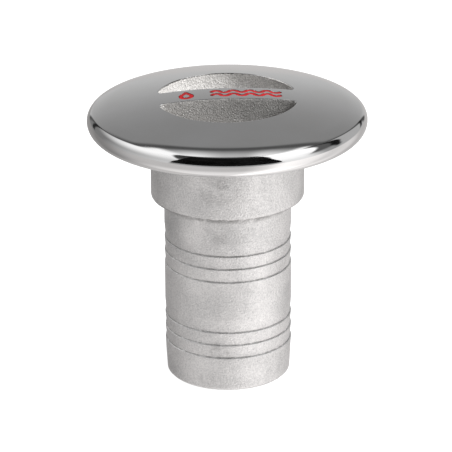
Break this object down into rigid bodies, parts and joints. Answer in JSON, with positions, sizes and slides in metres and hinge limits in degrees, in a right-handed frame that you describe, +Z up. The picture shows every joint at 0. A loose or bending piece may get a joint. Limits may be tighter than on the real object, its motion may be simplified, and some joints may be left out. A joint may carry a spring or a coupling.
{
  "type": "deck fill cap",
  "caption": "Round boat deck filler: a polished screw cap with two finger pockets covers a flanged cast neck with a barbed hose tail, and hangs on a captive chain.",
  "frame": {"origin": "on the fitting's axis in the deck plane, where the underside of the deck gasket rests", "axes": "+Z up out of the deck, towards the crown of the cap; the ridge between the finger pockets runs along X; the hose tail points along -Z"},
  "size_m": [0.088, 0.088, 0.0933],
  "materials": {
    "cast_steel": "fine-grained investment casting, bead blasted",
    "polished_steel": "mirror polished outside, cast grain inside the finger pockets",
    "gasket_rubber": "matt black neoprene sheet",
    "seal_rubber": "smooth black nitrile",
    "red_enamel": "gloss red enamel in engraved marks",
    "machined_steel": "turned stainless steel",
    "washer_plastic": "natural acetal",
    "sheet_steel": "pressed stainless sheet",
    "wire_steel": "drawn stainless wire"
  },
  "bodies": {
    "deck_fitting": {"body_casting": "cast_steel", "deck_gasket": "gasket_rubber"},
    "chain_carrier": {"swivel_plate": "sheet_steel", "upper_split_ring": "wire_steel", "chain_links": "wire_steel", "lower_split_ring": "wire_steel", "toggle_bar": "machined_steel"},
    "cap": {"cap_casting": "polished_steel", "cap_o_ring": "seal_rubber", "rim_seal": "seal_rubber", "drop_enamel": "red_enamel", "wave_enamel": "red_enamel", "swivel_screw": "machined_steel", "swivel_washer": "washer_plastic"}
  },
  "joints": [
    {"name": "cap_lift", "type": "slide", "parent": "deck_fitting", "child": "chain_carrier", "axis": [0, 0, 1], "range_m": [0, 0.036]},
    {"name": "cap_turn", "type": "hinge", "parent": "chain_carrier", "child": "cap", "pos_m": [0, 0, 0], "axis": [0, 0, 1], "range_deg": [0, 1080]}
  ],
  "couplings": [
    {"joint": "cap_lift", "follows": "cap_turn", "m_per_rad": 0.0019099}
  ]
}
